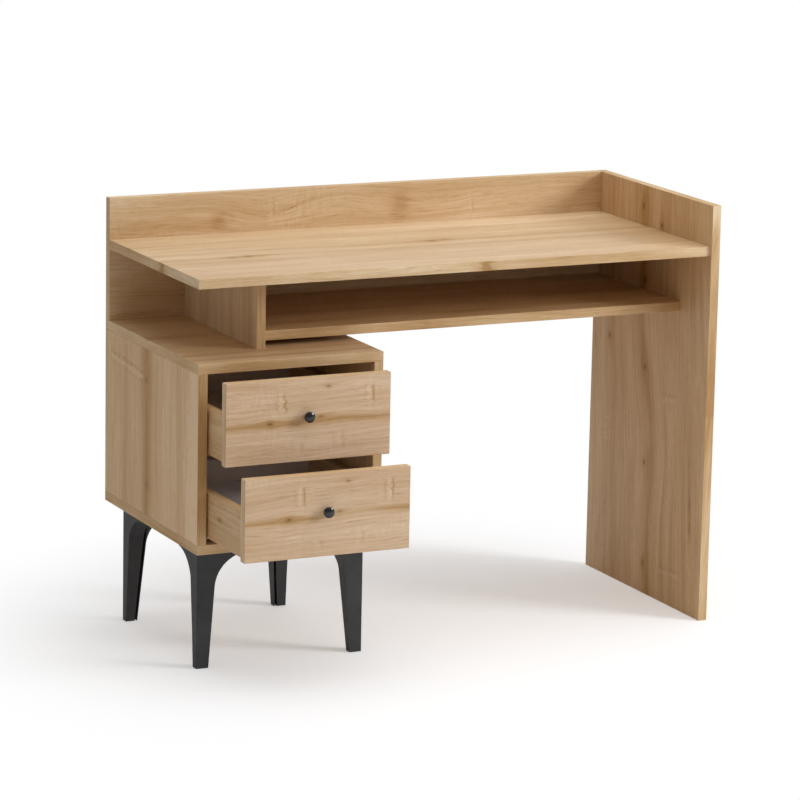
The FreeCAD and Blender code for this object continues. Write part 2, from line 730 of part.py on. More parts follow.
def make_runner(name, low, behind, end):
    """A concealed runner at each side: cabinet rail, roller carriage and drawer rail."""
    sheet_end = "track_end - rail_sheet"
    track_inner = "track_height - rail_sheet"
    rail_low = f"{low} - rail_drop"

    fixed = doc.addObject("PartDesign::Body", f"{name}_left_cabinet_rail")
    put(fixed, "board", "rail_front", rail_low)
    section = outline(fixed, f"{name}_cabinet_section", "XZ_Plane", (
        ("0", "0"),
        ("track_place + rail_sheet", "0"),
        ("track_place + rail_sheet", track_inner),
        (sheet_end, track_inner),
        (sheet_end, "0"),
        ("track_end", "0"),
        ("track_end", "track_height"),
        ("track_place", "track_height"),
        ("track_place", "rail_sheet"),
        ("rail_sheet", "rail_sheet"),
        ("rail_sheet", "rail_flange"),
        ("0", "rail_flange"),
    ))
    pad(fixed, section, "rail_length", reverse=True)
    drilled = doc.addObject("Part::Cut", f"{name}_left_cabinet_rail_drilled")
    holes = doc.addObject("Part::Feature", f"{name}_cabinet_rail_holes")
    drilled.Base = fixed
    drilled.Tool = holes
    tools = []
    height = f"{rail_low} + rail_flange - screw_head"
    for y in ("rail_front + fitting_pitch", "rail_front + rail_length - fitting_pitch"):
        seat = point("board + rail_sheet", y, height)
        tools.append(rod(seat, LEFT, number("rail_sheet"), number("screw_diameter + 2 * drill_play")))
        pan_screw("rail_screws", seat, LEFT, number("rail_sheet"), "pedestal_left_side")
        other = point("pedestal_right - rail_sheet", y, height)
        pan_screw("rail_screws", other, RIGHT, number("rail_sheet"), "pedestal_right_side")
    holes.Shape = Part.makeCompound(tools)
    keep(f"{name}_left_cabinet_rail", drilled)

    moving = doc.addObject("PartDesign::Body", f"{name}_drawer_left_rail")
    put(moving, "board", behind, rail_low)
    inner_left = "shoe_place + rail_sheet"
    inner_right = "shoe_end - rail_sheet"
    under = "shoe_top - rail_sheet"
    shoe = outline(moving, f"{name}_shoe_section", "XZ_Plane", (
        ("shoe_place", "shoe_skirt"),
        (inner_left, "shoe_skirt"),
        (inner_left, under),
        (inner_right, under),
        (inner_right, "shoe_skirt"),
        ("shoe_end", "shoe_skirt"),
        ("shoe_end", "shoe_top"),
        ("shoe_place", "shoe_top"),
    ))
    pad(moving, shoe, "box_length + rail_sheet", reverse=True)
    hook = doc.addObject("Part::Box", f"{name}_rail_hook")
    bind(hook, Length="shoe_end - shoe_place", Width="rail_sheet", Height="hook_height")
    put(hook, "board + shoe_place", end, f"{rail_low} + {under}")
    pin = doc.addObject("Part::Cylinder", f"{name}_rail_pin")
    bind(pin, Radius="hook_pin / 2", Height="hook_pin_length")
    pin_x = "board + (shoe_place + shoe_end) / 2"
    pin_z = f"{rail_low} + {under} + hook_pin_height"
    pin.Placement = Placement(Vector(), Rotation(RIGHT, 90))
    put(pin, pin_x, end, pin_z)
    rail = doc.addObject("Part::MultiFuse", f"{name}_drawer_left_rail_hooked")
    rail.Shapes = [moving, hook, pin]
    rail.Refine = True
    keep(f"{name}_drawer_left_rail", rail)
    for x in (pin_x, f"pedestal_width - ({pin_x})"):
        hole = rod(point(x, end, pin_z), FRONT, number("hook_pin_length"),
                   number("hook_pin + 2 * drill_play"))
        cuts[f"{name}_drawer_back"].append(hole)

    make_carriage(name, rail_low)
    middle = "pedestal_width / 2 - origin_x"
    for left_label in (f"{name}_left_cabinet_rail", f"{name}_drawer_left_rail", f"{name}_left_carriage"):
        right_label = left_label.replace("left", "right")
        keep(right_label, mirrored(right_label, nodes[left_label], RIGHT, x=middle))


def make_carriage(name, rail_low):
    """A roller cage that runs between the two rails, at half the drawer's speed."""
    start = f"rail_front + carriage_margin + drawer_travel / 2 - {name}_open / 2"
    axis = f"{rail_low} + track_height + roller_room / 2"
    middle = "board + track_place + track_width / 2"
    plate = doc.addObject("Part::Box", f"{name}_cage_plate")
    bind(plate, Length="roller_length", Width="carriage_length", Height="carriage_plate")
    put(plate, f"{middle} - roller_length / 2", start, f"{axis} - carriage_plate / 2")
    pieces = [plate]
    for place in ROLLER_PLACES:
        roller = doc.addObject("Part::Cylinder", f"{name}_roller")
        bind(roller, Radius="roller_room / 2 - run_gap", Height="roller_length")
        roller.Placement = Placement(Vector(), Rotation(BACK, 90))
        put(roller, f"{middle} - roller_length / 2",
            f"{start} + carriage_length / 2 + {place} * roller_pitch", axis)
        pieces.append(roller)
    carriage = doc.addObject("Part::MultiFuse", f"{name}_left_carriage")
    carriage.Shapes = pieces
    keep(f"{name}_left_carriage", carriage)


def finish_groups():
    """Each kind of fitting is one node of separate solids."""
    for label, solids in groups.items():
        group = doc.addObject("Part::Feature", label)
        group.Shape = Part.makeCompound(solids)
        keep(label, group)


def write_parts():
    """Check every object, then write each node as a STEP file."""
    doc.recompute()
    for item in doc.Objects:
        if "Invalid" in item.State or "Error" in item.State:
            raise RuntimeError(f"{item.Label} failed: {item.State}")
    for label, item in nodes.items():
        if item.Shape.isNull() or not item.Shape.isValid():
            raise RuntimeError(f"{label} has no valid shape")
    os.makedirs("parts", exist_ok=True)
    for label, item in nodes.items():
        item.Shape.exportStep(f"parts/{label}.step")
        print(label, len(item.Shape.Solids), round(item.Shape.Volume))


make_carcass()
make_pedestal_back()
for drawer in ("upper", "lower"):
    make_drawer(drawer)
join_carcass()
make_legs()
screw_legs()
finish_boards()
finish_groups()
write_parts()
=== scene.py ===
import json
from collections import namedtuple

import bpy
from mathutils import Matrix, Vector

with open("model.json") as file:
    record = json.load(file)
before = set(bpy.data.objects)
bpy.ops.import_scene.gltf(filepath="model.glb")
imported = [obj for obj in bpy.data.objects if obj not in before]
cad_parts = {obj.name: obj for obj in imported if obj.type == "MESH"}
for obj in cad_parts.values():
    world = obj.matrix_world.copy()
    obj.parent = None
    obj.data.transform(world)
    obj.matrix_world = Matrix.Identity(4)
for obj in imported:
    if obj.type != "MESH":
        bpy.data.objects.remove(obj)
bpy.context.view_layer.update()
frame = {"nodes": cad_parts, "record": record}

# Camera, in the part's frame
CAMERA_PLACE = (-3.1210, -6.3969, 1.9669)
CAMERA_RIGHT = (0.90395, -0.42719, 0.01948)
CAMERA_DOWN = (-0.07249, -0.19797, -0.97752)
CAMERA_FORWARD = (0.42145, 0.88222, -0.20993)
CAMERA_LENS = 176.253
CAMERA_SENSOR = 36
CAMERA_REACH = 50

# Lamps: place and side in metres, power in watts
LAMP_TARGET = (0.0, 0.0, 0.5)
OVERHEAD_PLACE = (0.3, -0.4, 3.4)
OVERHEAD_SIDE = 3.4
OVERHEAD_POWER = 50.0
KEY_PLACE = (3.3, -2.5, 2.2)
KEY_SIDE = 1.3
KEY_POWER = 82.0

# World: strength of the sky, and of the room and the white backdrop in reflections
SKY = 0.31
ROOM = 0.10
WHITE = 1.0
BACKDROP_FROM = -0.1
BACKDROP_FULL = 0.6

# Floor: it fades to white between two distances from the desk's middle
FLOOR_SIDE = 30
FLOOR_COLOUR = (0.945, 0.945, 0.955)
FLOOR_SHADE = 0.99
FLOOR_CLOUD = tuple(channel * FLOOR_SHADE for channel in FLOOR_COLOUR)
FLOOR_CLOUD_WAVES = 3.0
FLOOR_ROUGHNESS = 0.9
FLOOR_SHINE = 0.1
FLOOR_LIFT = 0.28
FLOOR_NEAR = 0.45
FLOOR_FAR = 1.0

# Places of a Mix node's sockets, for numbers and for colours
MIX_FACTOR = 0
MIX_NUMBERS = (2, 3)
MIX_NUMBER_OUT = 0
MIX_COLOURS = (6, 7)
MIX_COLOUR_OUT = 2

# How a board lies: the axes of its grain, its width and its thickness, by number
X, Y, Z = range(3)
LYING = (X, Y, Z)
FACING_FRONT = (X, Z, Y)
STANDING_SIDE = (Z, Y, X)
DRAWER_SIDE = (Y, Z, X)
EDGE_FACING = 0.7

# Oak print: the colours of the tone's ramp, and the factors that darken or tint it
OAK_TONES = (
    (0.14, (0.500, 0.290, 0.120)),
    (0.50, (0.665, 0.448, 0.243)),
    (0.78, (0.775, 0.575, 0.360)),
    (1.00, (0.890, 0.710, 0.495)),
)
OAK_STREAK = (0.72, 0.595, 0.37)
OAK_KNOT = (0.38, 0.25, 0.12)
OAK_PORE = (0.66, 0.54, 0.40)
OAK_FLECK = (0.850, 0.680, 0.480)
OAK_BAND = (1.000, 0.965, 0.890)
OAK_SHINE = 0.40
OAK_ROUGHNESS = 0.34
FIBRE_ROUGHNESS = 0.20
BAND_ROUGHNESS = 0.20
OAK_RELIEF = 0.10
OAK_RELIEF_DEPTH = 0.0004

# Layers of the print: waves per metre along and across the grain, then a step of the seed
SWAY = (2.6, 6.0, 0.0)
RAGGED = (50.0, 150.0, 8.0)
BROAD = (1.1, 12.0, 3.1)
MIDDLE = (3.0, 52.0, 7.7)
LINES = (5.0, 190.0, 9.2)
FIBRE = (16.0, 480.0, 0.0)
PORES = (45.0, 1300.0, 5.0)
TICKS = (22.0, 330.0, 12.0)
RAYS = (150.0, 40.0, 1.0)
PATCHES = (6.0, 15.0, 11.0)
BAND_PATCHES = (6.0, 20.0, 6.0)
BREAKS = (130.0, 45.0, 4.0)
RELIEF = (20.0, 700.0, 0.0)
WAVER = (4.0, 40.0, 2.0)
THROUGH_WAVES = 3.0

# Each layer's share in the tone or the colour, and the noise from which a layer begins and is full
BROAD_SHARE = 0.70
MIDDLE_SHARE = 0.46
LINE_SHARE = 0.56
FIBRE_SHARE = 0.45
BAND_SHARE = 0.90
RAY_SHARE = 0.42
PATCH_SHARE = 0.04
PORE_SHARE = 0.45
TICK_SHARE = 0.45
PORE_SPAN = (0.58, 0.72)
TICK_SPAN = (0.60, 0.74)
PATCH_SPAN = (0.46, 0.70)
WAVER_SPAN = (0.18, 0.60)
BREAK_SPAN = (0.30, 0.62)
NOISE_MIDDLE = 0.5
RAY_MIDDLE = 0.47
BAND_MIDDLE = 0.46
PLAIN_TONE = 0.5

# How far, in metres, the grain sways and a tone's border is ragged
SWAY_REACH = 0.034
RAGGED_ALONG = 0.030
RAGGED_ACROSS = 0.010

# A knot's halo and tail, as multiples of its own length, width and depth
HALO_LENGTH = 2.6
HALO_WIDTH = 2.4
HALO_PUSH = -0.55
TAIL_LENGTH = 8.0
TAIL_WIDTH = 1.8
HALO_DEPTH = 0.55

# A streak's dark core, as shares of the streak's width and depth
CORE_WIDTH = 0.25
CORE_DEPTH = 0.6
STREAK_DEPTH = 0.85

# A mark's slope, the fade of its ends in metres, and its two shadows in multiples of its width
MARK_SLANT = 0.06
MARK_FADE = 0.014
MARK_RAGGED = 5.0
NEAR_SHADOW = 2.0
FAR_SHADOW = 2.4
SHADOW_WIDTH = 0.8
FAR_SHADOW_DEPTH = 0.35
SHADOW_DEPTH = 1.5

# Features of a print, in metres along and across the grain; some tones and spots are painted shade and
# painted light instead
Knot = namedtuple("Knot", "along across length width depth")
Streak = namedtuple("Streak", "across width depth")
Mark = namedtuple("Mark", "along width low high depth")
Tone = namedtuple("Tone", "along across length width lift")
Spot = namedtuple("Spot", "along length depth")
Bow = namedtuple("Bow", "along across length width lift")


class Shade:
    """Builds a material's nodes step by step."""

    def __init__(self, name):
        self.material = bpy.data.materials.new(name)
        self.material.use_nodes = True
        self.nodes = self.material.node_tree.nodes
        self.links = self.material.node_tree.links
        self.shader = self.nodes["Principled BSDF"]

    def feed(self, socket, value):
        if isinstance(value, bpy.types.NodeSocket):
            self.links.new(value, socket)
        elif isinstance(value, tuple) and len(value) == 3 and len(socket.default_value) == 4:
            socket.default_value = (*value, 1)
        else:
            socket.default_value = value

    def math(self, operation, first, second=0.0):
        node = self.nodes.new("ShaderNodeMath")
        node.operation = operation
        self.feed(node.inputs[0], first)
        self.feed(node.inputs[1], second)
        return node.outputs[0]

    def add(self, *values):
        total = values[0]
        for value in values[1:]:
            total = self.math("ADD", total, value)
        return total

    def less(self, first, second):
        return self.math("SUBTRACT", first, second)

    def times(self, *values):
        total = values[0]
        for value in values[1:]:
            total = self.math("MULTIPLY", total, value)
        return total

    def pick(self, factor, first, second):
        """First where the factor is 0, second where it is 1."""
        return self.add(self.times(first, self.less(1.0, factor)), self.times(second, factor))

    def hill(self, *parts):
        """A bell of the given (value, middle, width) parts."""
        total = None
        for value, middle, width in parts:
            away = self.math("DIVIDE", self.less(value, middle), width)
            square = self.times(away, away)
            total = square if total is None else self.add(total, square)
        return self.math("EXPONENT", self.times(total, -1.0))

    def span(self, value, low, high):
        """0 below low, 1 above high, smooth between."""
        node = self.nodes.new("ShaderNodeMapRange")
        node.interpolation_type = "SMOOTHSTEP"
        self.feed(node.inputs["Value"], value)
        node.inputs["From Min"].default_value = low
        node.inputs["From Max"].default_value = high
        return node.outputs["Result"]

    def join(self, x, y, z):
        node = self.nodes.new("ShaderNodeCombineXYZ")
        for socket, value in zip(node.inputs, (x, y, z)):
            self.feed(socket, value)
        return node.outputs[0]

    def split(self, vector):
        node = self.nodes.new("ShaderNodeSeparateXYZ")
        self.links.new(vector, node.inputs[0])
        return node.outputs

    def noise(self, vector, scale=1.0, detail=2.0, roughness=0.5):
        node = self.nodes.new("ShaderNodeTexNoise")
        self.links.new(vector, node.inputs["Vector"])
        node.inputs["Scale"].default_value = scale
        node.inputs["Detail"].default_value = detail
        node.inputs["Roughness"].default_value = roughness
        return node.outputs[0]

    def blend(self, factor, first, second, kind="MIX"):
        node = self.nodes.new("ShaderNodeMix")
        node.data_type = "RGBA"
        node.blend_type = kind
        self.feed(node.inputs[MIX_FACTOR], factor)
        for place, colour in zip(MIX_COLOURS, (first, second)):
            self.feed(node.inputs[place], colour)
        return node.outputs[MIX_COLOUR_OUT]

    def ramp(self, factor, stops):
        node = self.nodes.new("ShaderNodeValToRGB")
        self.feed(node.inputs[0], factor)
        row = node.color_ramp.elements
        while len(row) < len(stops):
            row.new(0.5)
        for element, (place, colour) in zip(row, stops):
            element.position = place
            element.color = (*colour, 1)
        return node.outputs[0]

    def bump(self, height, strength, distance):
        node = self.nodes.new("ShaderNodeBump")
        self.feed(node.inputs["Height"], height)
        node.inputs["Strength"].default_value = strength
        node.inputs["Distance"].default_value = distance
        self.links.new(node.outputs[0], self.shader.inputs["Normal"])

    def coordinates(self, kind="Object"):
        return self.nodes.new("ShaderNodeTexCoord").outputs[kind]

    def set(self, **values):
        for key, value in values.items():
            self.feed(self.shader.inputs[key.replace("_", " ")], value)


class OakPrint(Shade):
    """A printed board with its grain along one axis and banded edges."""

    def __init__(self, name, lie, seed):
        super().__init__(name)
        grain, across, thick = lie
        place = self.split(self.coordinates("Object"))
        facing = self.split(self.coordinates("Normal"))
        end = self.math("GREATER_THAN", self.math("ABSOLUTE", facing[grain]), EDGE_FACING)
        self.seed = seed
        self.edge = self.math("LESS_THAN", self.math("ABSOLUTE", facing[thick]), EDGE_FACING)
        self.face = self.less(1.0, self.edge)
        self.u = self.pick(end, place[grain], place[across])
        self.v = self.pick(self.edge, place[across], place[thick])
        self.through = self.times(place[thick], THROUGH_WAVES)
        sway = self.layer(SWAY, self.v)
        self.flow = self.add(self.v, self.times(self.less(sway, NOISE_MIDDLE), SWAY_REACH))
        self.ragged = self.less(self.layer(RAGGED, self.v, detail=3.0), NOISE_MIDDLE)
        self.dark = 0.0
        self.streak = 0.0
        self.light = 0.0

    def layer(self, waves, aside, detail=2.0, roughness=0.5, through=False):
        """Noise stretched along the grain, at one depth or through the board's thickness."""
        along, across, step = waves
        depth = self.seed + step
        if through:
            depth = self.add(self.through, depth)
        place = self.join(self.times(self.u, along), self.times(aside, across), depth)
        return self.noise(place, detail=detail, roughness=roughness)

    def bend(self, lean, bows):
        """Leans the grain and swells it into arches."""
        if lean:
            self.flow = self.add(self.flow, self.times(self.u, -lean))
        for bow in bows:
            arch = self.hill((self.u, bow.along, bow.length), (self.v, bow.across, bow.width))
            self.flow = self.add(self.flow, self.times(arch, bow.lift))

    def add_knot(self, knot, lean):
        """A dark core with a halo and a tail; the grain runs past it in a bow."""
        rough_u = self.add(self.u, self.times(self.ragged, knot.length))
        rough_v = self.add(self.v, self.times(self.ragged, knot.width))
        core = self.hill((rough_u, knot.along, knot.length), (self.v, knot.across, knot.width))
        halo = self.hill((self.u, knot.along, knot.length * HALO_LENGTH),
                         (rough_v, knot.across, knot.width * HALO_WIDTH))
        push = self.times(self.less(self.v, knot.across), halo, HALO_PUSH)
        self.flow = self.add(self.flow, push)
        tail = self.hill((self.u, knot.along, knot.length * TAIL_LENGTH),
                         (self.flow, knot.across - lean * knot.along, knot.width * TAIL_WIDTH))
        self.dark = self.add(self.dark, self.times(core, knot.depth))
        self.streak = self.add(self.streak, self.times(self.add(halo, tail), knot.depth * HALO_DEPTH))

    def add_streak(self, streak):
        """A darker stripe along the grain that comes and goes."""
        along, across, step = WAVER
        waver = self.noise(self.join(self.times(self.u, along), streak.across * across, self.seed + step))
        core = self.hill((self.flow, streak.across, streak.width * CORE_WIDTH))
        stripe = self.add(self.hill((self.flow, streak.across, streak.width)), self.times(core, CORE_DEPTH))
        shown = self.times(stripe, self.span(waver, *WAVER_SPAN), streak.depth * STREAK_DEPTH)
        self.streak = self.add(self.streak, shown)

    def add_mark(self, mark, slant):
        """A pale broken line across the grain between two shadows."""
        starts = self.span(self.v, mark.low, mark.low + MARK_FADE)
        ends = self.less(1.0, self.span(self.v, mark.high - MARK_FADE, mark.high))
        whole = self.span(self.layer(BREAKS, self.v), *BREAK_SPAN)
        within = self.times(self.times(starts, ends), whole, self.face, mark.depth)
        rough = self.times(self.ragged, mark.width * MARK_RAGGED)
        place = self.add(self.u, rough, self.times(self.v, slant))
        middle = mark.along + (mark.low + mark.high) / 2 * slant
        line = self.hill((place, middle, mark.width))
        near = self.hill((place, middle + mark.width * NEAR_SHADOW, mark.width * SHADOW_WIDTH))
        far = self.hill((place, middle - mark.width * FAR_SHADOW, mark.width * SHADOW_WIDTH))
        shadow = self.add(near, self.times(far, FAR_SHADOW_DEPTH))
        self.light = self.add(self.light, self.times(line, within))
        self.streak = self.add(self.streak, self.times(shadow, within, SHADOW_DEPTH))

    def tone_of(self, fibre, tone, tones, spots):
        """The tone that the ramp turns into colour."""
        broad = self.layer(BROAD, self.flow, detail=3.0, roughness=0.55)
        middle = self.layer(MIDDLE, self.flow, roughness=0.6)
        lines = self.layer(LINES, self.flow, roughness=0.6)
        patch = self.times(self.span(self.layer(PATCHES, self.flow), *PATCH_SPAN), self.face)
        rays = self.times(self.less(self.layer(RAYS, self.flow, detail=3.0), RAY_MIDDLE), patch)
        band = self.less(self.layer(BAND_PATCHES, self.v), BAND_MIDDLE)
        value = self.add(
            PLAIN_TONE + tone,
            self.times(self.less(broad, NOISE_MIDDLE), BROAD_SHARE),
            self.times(self.less(middle, NOISE_MIDDLE), MIDDLE_SHARE),
            self.times(self.less(lines, NOISE_MIDDLE), LINE_SHARE),
            self.times(self.less(fibre, NOISE_MIDDLE), FIBRE_SHARE),
            self.times(band, self.edge, BAND_SHARE),
            self.times(rays, RAY_SHARE),
            self.times(patch, PATCH_SHARE),
        )
        rough_u = self.add(self.u, self.times(self.ragged, RAGGED_ALONG))
        rough_v = self.add(self.v, self.times(self.ragged, RAGGED_ACROSS))
        # Tones and spots: most are the print's own, and the ones marked at the boards are painted shade and
        # painted light
        for area in tones:
            cloud = self.hill((rough_u, area.along, area.length), (rough_v, area.across, area.width))
            value = self.add(value, self.times(cloud, self.face, area.lift))
        for spot in spots:
            shade = self.hill((rough_u, spot.along, spot.length))
            value = self.add(value, self.times(shade, self.edge, -spot.depth))
        return value

    def darken(self, colour, amount, factor):
        """Multiplies the colour on the board's faces, by at most the whole factor."""
        share = self.math("MINIMUM", self.times(amount, self.face), 1.0)
        return self.blend(share, colour, factor, "MULTIPLY")


def oak(name, lie, seed, tone=0.0, lean=0.0, knots=(), streaks=(), marks=(), tones=(), spots=(), bows=(),
        tint=None, slant=MARK_SLANT):
    """The material of one board.

    lean is the grain's slope, tint the board's own hue and slant the slope of its marks. tones are
    lighter or darker places on its faces, spots darker places on its edges; some of both are painted light.
    """
    board = OakPrint(name, lie, seed)
    board.bend(lean, bows)
    for knot in knots:
        board.add_knot(knot, lean)
    for streak in streaks:
        board.add_streak(streak)
    for mark in marks:
        board.add_mark(mark, slant)

    fibre = board.layer(FIBRE, board.flow, roughness=0.65, through=True)
    pores = board.span(board.layer(PORES, board.flow, detail=1.0, through=True), *PORE_SPAN)
    ticks = board.span(board.layer(TICKS, board.flow), *TICK_SPAN)
    colour = board.ramp(board.tone_of(fibre, tone, tones, spots), OAK_TONES)
    colour = board.blend(board.edge, colour, OAK_BAND, "MULTIPLY")
    if tint:
        colour = board.blend(board.face, colour, tint, "MULTIPLY")
    pitted = board.add(board.times(pores, PORE_SHARE), board.times(ticks, TICK_SHARE))
    colour = board.blend(pitted, colour, OAK_PORE, "MULTIPLY")
    if knots or streaks or marks:
        colour = board.darken(colour, board.streak, OAK_STREAK)
    if knots:
        colour = board.darken(colour, board.dark, OAK_KNOT)
    if marks:
        colour = board.blend(board.light, colour, OAK_FLECK)

    board.set(Base_Color=colour, Specular_IOR_Level=OAK_SHINE)
    rough = board.add(
        OAK_ROUGHNESS,
        board.times(fibre, FIBRE_ROUGHNESS),
        board.times(board.edge, BAND_ROUGHNESS),
    )
    board.set(Roughness=rough)
    board.bump(board.layer(RELIEF, board.v, detail=1.0), OAK_RELIEF, OAK_RELIEF_DEPTH)
    return board.material


# Print of the two drawer fronts, about each one's middle height
FRONT_SEED = 37.0
FRONT_TONE = 0.18
FRONT_TINT = (1.02, 0.985, 1.03)
FRONT_KNOTS = (
    Knot(-0.420, -0.003, 0.0060, 0.0028, 0.85),
    Knot(-0.307, 0.058, 0.0040, 0.0022, 0.55),
    Knot(-0.322, 0.004, 0.0050, 0.0022, 0.50),
)
FRONT_STREAKS = (
    Streak(-0.003, 0.0075, 0.95),
    Streak(0.034, 0.006, 0.16),
)
FRONT_MARKS = (
    Mark(-0.398, 0.0036, 0.010, 0.058, 0.62),
    Mark(-0.226, 0.0036, 0.012, 0.062, 0.66),
    Mark(-0.285, 0.0040, -0.064, -0.020, 0.30),
    Mark(-0.365, 0.0040, -0.066, -0.035, 0.28),
)
FRONT_TONES = (Tone(-0.330, -0.046, 0.160, 0.022, 0.14),)
DRAWER_SIDE_TINT = (1.0, 0.95, 0.86)


def front_board(name, middle):
    """Both drawer fronts have the same print, each about its own middle height."""

    def raised(features):
        return [feature._replace(across=middle + feature.across) for feature in features]

    marks = [mark._replace(low=middle + mark.low, high=middle + mark.high) for mark in FRONT_MARKS]
    return oak(name, FACING_FRONT, FRONT_SEED, FRONT_TONE, knots=raised(FRONT_KNOTS),
               streaks=raised(FRONT_STREAKS), marks=marks, tones=raised(FRONT_TONES), tint=FRONT_TINT)


# Boards, each with the print's features where it has them, and painted shade and painted light where marked
BOARDS = {
    "desktop": oak(
        "oak_desktop", LYING, seed=1.0, tone=0.13,
        knots=(
            Knot(-0.385, 0.049, 0.0040, 0.0050, 0.45),
            Knot(-0.352, 0.051, 0.0070, 0.0060, 0.62),
            Knot(-0.325, 0.050, 0.0035, 0.0045, 0.40),
            Knot(0.039, 0.094, 0.0070, 0.0060, 0.60),
            Knot(0.072, 0.106, 0.0050, 0.0050, 0.42),
        ),
        streaks=(
            Streak(0.050, 0.014, 0.42),
            Streak(0.098, 0.012, 0.42),
            Streak(-0.060, 0.012, 0.18),
            Streak(0.205, 0.010, 0.20),
        ),
        tones=(
            # Painted shadow: the desktop's right end is darker where the right panel shades it
            Tone(0.470, 0.120, 0.120, 0.120, -0.15),
            Tone(0.000, 0.240, 0.900, 0.070, 0.24),
        ),
        spots=(
            Spot(0.041, 0.005, 0.90),
            Spot(0.041, 0.022, 0.38),
            Spot(0.250, 0.120, 0.34),
        ),
        tint=(1.02, 0.985, 0.945),
    ),
    "back_panel": oak(
        "oak_back", FACING_FRONT, seed=4.3, tone=0.15,
        streaks=(Streak(0.745, 0.010, 0.20),),
        marks=(
            Mark(-0.200, 0.003, 0.735, 0.790, 0.25),
            Mark(0.220, 0.003, 0.730, 0.780, 0.25),
        ),
        tones=(
            Tone(-0.303, 0.747, 0.018, 0.014, -0.40),
            Tone(0.070, 0.756, 0.022, 0.030, -0.30),
            # Painted shadow: the back panel is darker low in the nook under the desktop
            Tone(-0.440, 0.625, 0.120, 0.080, -0.30),
            # Painted shade: the back panel is darker in the corner by the right panel
            Tone(0.490, 0.765, 0.060, 0.060, -0.22),
        ),
        bows=(
            Bow(-0.215, 0.752, 0.090, 0.030, 0.016),
            Bow(-0.060, 0.780, 0.120, 0.030, -0.014),
            Bow(0.150, 0.748, 0.140, 0.030, 0.014),
        ),
    ),
    "right_side_panel": oak(
        "oak_right", STANDING_SIDE, seed=8.1, lean=0.063,
        knots=(
            Knot(0.759, 0.126, 0.0060, 0.0042, 0.85),
            Knot(0.616, 0.112, 0.0060, 0.0042, 0.85),
            Knot(0.447, 0.101, 0.0065, 0.0055, 0.90),
            Knot(0.732, 0.053, 0.0045, 0.0040, 0.80),
            Knot(0.483, 0.246, 0.0045, 0.0045, 0.80),
            Knot(0.260, 0.093, 0.0045, 0.0040, 0.80),
            Knot(0.060, 0.085, 0.0050, 0.0045, 0.65),
            Knot(0.215, -0.090, 0.0100, 0.0025, 0.40),
            Knot(0.172, -0.093, 0.0120, 0.0025, 0.40),
        ),
        streaks=(
            Streak(0.066, 0.024, 0.95),
            Streak(0.000, 0.010, 0.26),
            Streak(0.205, 0.012, 0.30),
            Streak(-0.110, 0.010, 0.24),
        ),
        marks=(
            Mark(0.400, 0.0050, -0.030, 0.035, 0.30),
            Mark(0.062, 0.0040, -0.070, 0.030, 0.30),
        ),
        tones=(
            Tone(0.300, 0.285, 0.350, 0.035, 0.14),
            Tone(0.300, 0.175, 0.350, 0.060, -0.09),
        ),
        spots=(
            Spot(0.440, 0.120, 0.40),
            Spot(0.408, 0.008, 0.70),
            Spot(0.620, 0.080, 0.24),
            Spot(0.790, 0.040, -0.50),
        ),
        bows=(
            Bow(0.300, 0.085, 0.110, 0.090, 0.020),
            Bow(0.560, 0.110, 0.100, 0.090, -0.014),
        ),
        tint=(1.01, 0.975, 0.935),
    ),
    "divider_panel": oak(
        "oak_divider", STANDING_SIDE, seed=12.7, tone=0.08,
        streaks=(
            Streak(0.080, 0.012, 0.55),
            Streak(0.190, 0.010, 0.50),
        ),
    ),
    "keyboard_shelf": oak(
        "oak_shelf", LYING, seed=16.9, tone=-0.02,
        streaks=(
            Streak(0.030, 0.012, 0.50),
            Streak(0.120, 0.020, 0.40),
        ),
        # Painted shadow: the shelf's front edge is darker at its right end, where the right panel shades it
        spots=(Spot(0.500, 0.060, 0.45),),
    ),
    "pedestal_top": oak(
        "oak_pedestal_top", LYING, seed=21.3, tone=0.06,
        streaks=(
            Streak(-0.095, 0.008, 0.75),
            Streak(-0.052, 0.010, 0.55),
            Streak(0.020, 0.012, 0.60),
            Streak(0.120, 0.016, 0.50),
        ),
        spots=(
            Spot(-0.440, 0.070, 0.40),
            Spot(-0.195, 0.040, 0.30),
        ),
    ),
    "pedestal_bottom": oak("oak_pedestal_bottom", LYING, seed=25.1, tone=-0.02),
    "pedestal_left_side": oak(
        "oak_pedestal_left", STANDING_SIDE, seed=29.9, tone=0.18,
        knots=(
            Knot(0.494, 0.112, 0.0060, 0.0050, 0.60),
            Knot(0.297, 0.108, 0.0060, 0.0050, 0.60),
        ),
        streaks=(
            Streak(0.110, 0.020, 1.15),
            Streak(0.215, 0.014, 0.26),
            Streak(-0.040, 0.010, 0.18),
        ),
        marks=(Mark(0.502, 0.0042, 0.120, 0.295, 0.56),),
        tones=(
            # Painted light: the side is lighter along its front edge, where more light reaches it
            Tone(0.400, -0.120, 0.400, 0.035, 0.45),
            Tone(0.400, -0.020, 0.400, 0.050, 0.10),
        ),
        # Painted shade: the front edge is darker beside the open drawers
        spots=(Spot(0.400, 0.200, 0.70),),
        tint=(1.03, 0.925, 0.775),
        slant=-0.08,
    ),
    "pedestal_right_side": oak("oak_pedestal_right", STANDING_SIDE, seed=33.7),
    "upper_drawer_front": front_board("oak_upper_front", middle=0.473),
    "lower_drawer_front": front_board("oak_lower_front", middle=0.320),
    "upper_drawer_left_side": oak("oak_upper_left", DRAWER_SIDE, seed=41.5, tint=DRAWER_SIDE_TINT),
    "upper_drawer_right_side": oak("oak_upper_right", DRAWER_SIDE, seed=45.1),
    "lower_drawer_left_side": oak(
        "oak_lower_left", DRAWER_SIDE, seed=49.3,
        knots=(Knot(-0.185, 0.297, 0.0070, 0.0030, 0.70),),
        tint=DRAWER_SIDE_TINT,
    ),
    "lower_drawer_right_side": oak("oak_lower_right", DRAWER_SIDE, seed=53.9),
}


